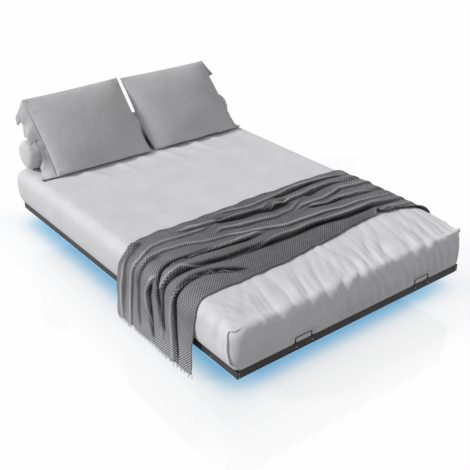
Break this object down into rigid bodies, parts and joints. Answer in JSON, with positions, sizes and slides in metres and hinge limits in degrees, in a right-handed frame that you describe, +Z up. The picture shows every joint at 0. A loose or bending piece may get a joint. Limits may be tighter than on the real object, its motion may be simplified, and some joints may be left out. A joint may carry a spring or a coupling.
{
  "type": "floating bed",
  "caption": "Double bed with a slim steel rim on a recessed base, light strips under the rim, slatted deck, mattress, pillows on a bolster and a knitted throw.",
  "frame": {"origin": "on the floor under the middle of the rim, in the sole of the centre foot", "axes": "+X to the right-hand side seen from the foot, +Y towards the head, +Z up"},
  "size_m": [1.5208, 2.1339, 0.808],
  "materials": {
    "powder_coat": "fine-textured black powder coat on steel",
    "base_coat": "matt black powder coat on steel",
    "zinc": "bright zinc plating",
    "rubber": "matt moulded rubber",
    "silicone": "milky silicone that glows light blue",
    "case_plastic": "fine-grained black ABS",
    "button_plastic": "satin grey ABS",
    "board_resin": "green solder mask on glass-filled epoxy",
    "ticking": "woven cotton ticking",
    "sheet_cotton": "washed cotton percale, cool light grey",
    "case_cotton": "washed cotton percale, mid grey",
    "knit": "chunky wool-blend knit, charcoal"
  },
  "bodies": {
    "bed": {"side_rail_left": "powder_coat", "side_rail_right": "powder_coat", "foot_rail": "powder_coat", "head_rail": "powder_coat", "retainer_loop_left": "powder_coat", "retainer_loop_right": "powder_coat", "corner_bracket_head_left": "base_coat", "corner_bracket_head_right": "base_coat", "corner_bracket_foot_left": "base_coat", "corner_bracket_foot_right": "base_coat", "slat_01": "base_coat", "slat_02": "base_coat", "slat_03": "base_coat", "slat_04": "base_coat", "slat_05": "base_coat", "slat_06": "base_coat", "slat_07": "base_coat", "slat_08": "base_coat", "slat_09": "base_coat", "slat_10": "base_coat", "beam_left": "base_coat", "beam_centre": "base_coat", "beam_right": "base_coat", "cross_tie_foot": "base_coat", "cross_tie_middle": "base_coat", "cross_tie_head": "base_coat", "leg_foot_left": "base_coat", "leg_foot_right": "base_coat", "leg_middle_left": "base_coat", "leg_middle_centre": "base_coat", "leg_middle_right": "base_coat", "leg_head_left": "base_coat", "leg_head_right": "base_coat", "foot_cap_foot_left": "rubber", "foot_cap_foot_right": "rubber", "foot_cap_middle_left": "rubber", "foot_cap_middle_centre": "rubber", "foot_cap_middle_right": "rubber", "foot_cap_head_left": "rubber", "foot_cap_head_right": "rubber", "light_strip_left": "silicone", "light_strip_right": "silicone", "light_strip_foot": "silicone", "light_strip_head": "silicone", "controller_case": "case_plastic", "controller_cover": "case_plastic", "controller_board": "board_resin", "power_inlet": "zinc", "mattress": "ticking", "pillow_left": "ticking", "pillow_right": "ticking", "bed_sheet": "sheet_cotton", "bolster": "case_cotton", "pillowcase_left": "case_cotton", "pillowcase_right": "case_cotton", "throw": "knit"},
    "button_power": {"button_power": "button_plastic"},
    "button_colour": {"button_colour": "button_plastic"},
    "button_mode": {"button_mode": "button_plastic"}
  },
  "joints": [
    {"name": "button_power_press", "type": "slide", "parent": "bed", "child": "button_power", "axis": [-1, 0, 0], "range_m": [0, 0.001], "stiffness_N_per_m": 300, "springref_m": -0.001},
    {"name": "button_colour_press", "type": "slide", "parent": "bed", "child": "button_colour", "axis": [-1, 0, 0], "range_m": [0, 0.001], "stiffness_N_per_m": 300, "springref_m": -0.001},
    {"name": "button_mode_press", "type": "slide", "parent": "bed", "child": "button_mode", "axis": [-1, 0, 0], "range_m": [0, 0.001], "stiffness_N_per_m": 300, "springref_m": -0.001}
  ]
}
